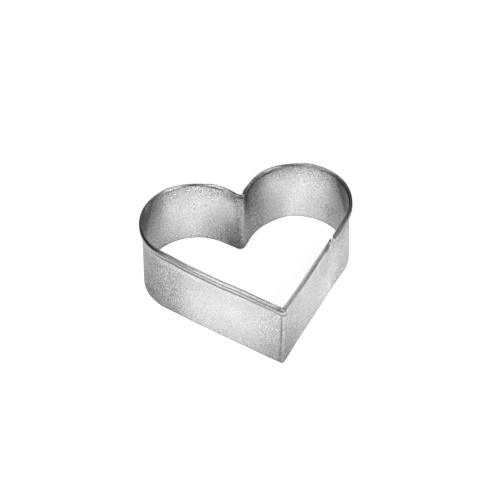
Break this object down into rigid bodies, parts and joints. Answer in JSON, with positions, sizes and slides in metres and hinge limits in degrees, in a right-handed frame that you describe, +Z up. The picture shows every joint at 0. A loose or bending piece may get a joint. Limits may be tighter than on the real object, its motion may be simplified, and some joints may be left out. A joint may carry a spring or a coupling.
{
  "type": "pasta cutter",
  "caption": "Open heart-shaped cutter ring for rolled pasta or pastry dough: a thin tinplate strip with a rolled top rim, a plain cutting edge below and a lapped, spot-welded seam on one side",
  "frame": {"origin": "centre of the footprint, on the surface that the cutting edge stands on", "axes": "+Z up from the cutting edge to the rolled rim; +Y from the heart's tip to its cleft; X across the two lobes, with the lap seam on the +X side"},
  "size_m": [0.0668, 0.0584, 0.025],
  "materials": {
    "tinplate": "bright rolled tinplate, fine matt grain",
    "weld_metal": "dull, pressed by the welding electrodes"
  },
  "bodies": {
    "root": {"heart_strip": "tinplate", "spot_weld_lower": "weld_metal", "spot_weld_middle": "weld_metal", "spot_weld_upper": "weld_metal"}
  },
  "joints": []
}
